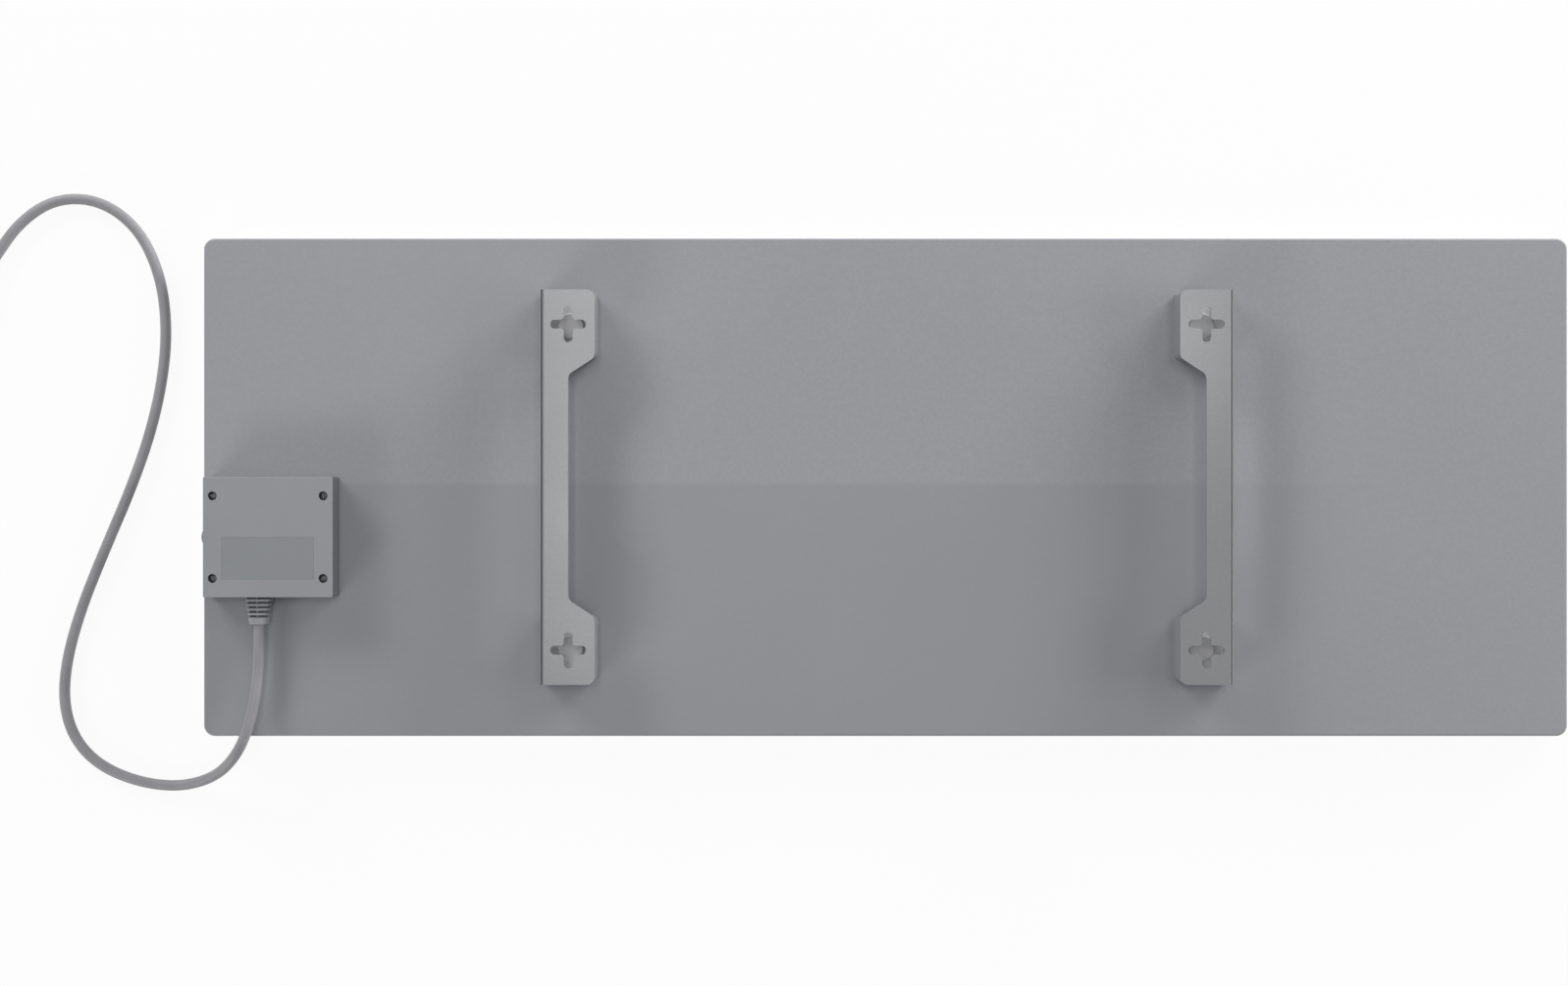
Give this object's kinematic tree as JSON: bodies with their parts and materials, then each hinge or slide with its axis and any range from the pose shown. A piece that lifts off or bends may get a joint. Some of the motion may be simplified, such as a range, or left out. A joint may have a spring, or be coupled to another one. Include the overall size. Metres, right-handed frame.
{
  "type": "infrared panel heater",
  "caption": "Flat wall-mounted infrared panel heater seen from its back, with pressed wall brackets, a screwed junction box with a push button, and a mains cord with plug.",
  "frame": {"origin": "middle of the panel's radiating front face, which is the face that the panel lies on here", "axes": "+X along the panel's long side, away from the junction box; +Y up the panel as it hangs with its brackets upright; +Z out of the back, towards the wall"},
  "size_m": [1.271, 0.5468, 0.045],
  "materials": {
    "front_enamel": "satin white enamel",
    "rear_paint": "satin silver-grey paint",
    "bracket_paint": "satin silver-grey paint",
    "zinc_steel": "zinc plated",
    "element_plate": "mill finish",
    "track_foil": "printed resistive film",
    "insulation": "pressed mineral fibre",
    "cutout_case": "moulded phenolic",
    "lead_sleeve": "silicone sleeve",
    "black_rubber": "moulded",
    "box_plastic": "fine moulded texture",
    "board_green": "solder mask",
    "component_black": "moulded",
    "component_yellow": "cased",
    "component_green": "moulded",
    "fuse_ceramic": "ceramic",
    "relief_rubber": "moulded, matte",
    "cord_sheath": "smooth matte sheath",
    "core_sheath": "insulated cores",
    "brass_lug": "plain",
    "tie_band": "woven band",
    "plug_moulding": "moulded, matte",
    "pin_plating": "nickel plated",
    "button_plastic": "moulded"
  },
  "bodies": {
    "heater": {"front_panel": "front_enamel", "rear_panel": "rear_paint", "element_sheet": "element_plate", "heating_track": "track_foil", "insulation_board": "insulation", "thermal_cutout": "cutout_case", "element_leads": "lead_sleeve", "lead_grommet": "black_rubber", "bracket_nuts": "zinc_steel", "base_nuts": "zinc_steel", "wall_bracket_left": "bracket_paint", "wall_bracket_right": "bracket_paint", "bracket_screws": "zinc_steel", "box_base": "box_plastic", "box_cover": "box_plastic", "cover_screws": "zinc_steel", "base_screws": "zinc_steel", "control_board": "board_green", "board_screws": "zinc_steel", "power_relay": "component_black", "power_module": "component_black", "filter_capacitor": "component_yellow", "fuse_holder": "component_black", "fuse": "fuse_ceramic", "terminal_block": "component_green", "push_switch": "component_black", "strain_relief": "relief_rubber", "inner_cord": "cord_sheath", "mains_wires": "core_sheath", "cord_clamp": "component_black", "clamp_screws": "zinc_steel", "earth_stud": "zinc_steel", "earth_lug": "brass_lug", "earth_nut": "brass_lug", "power_cord": "cord_sheath", "cord_coil": "cord_sheath", "cord_tie": "tie_band", "cord_tail": "cord_sheath", "plug_body": "plug_moulding", "plug_pins": "pin_plating", "plug_earth_clips": "pin_plating"},
    "button": {"power_button": "button_plastic", "switch_plunger": "component_black"}
  },
  "joints": [
    {"name": "button_press", "type": "slide", "parent": "heater", "child": "button", "axis": [1, 0, 0], "range_m": [0, 0.0015], "stiffness_N_per_m": 1500, "springref_m": -0.0007}
  ]
}
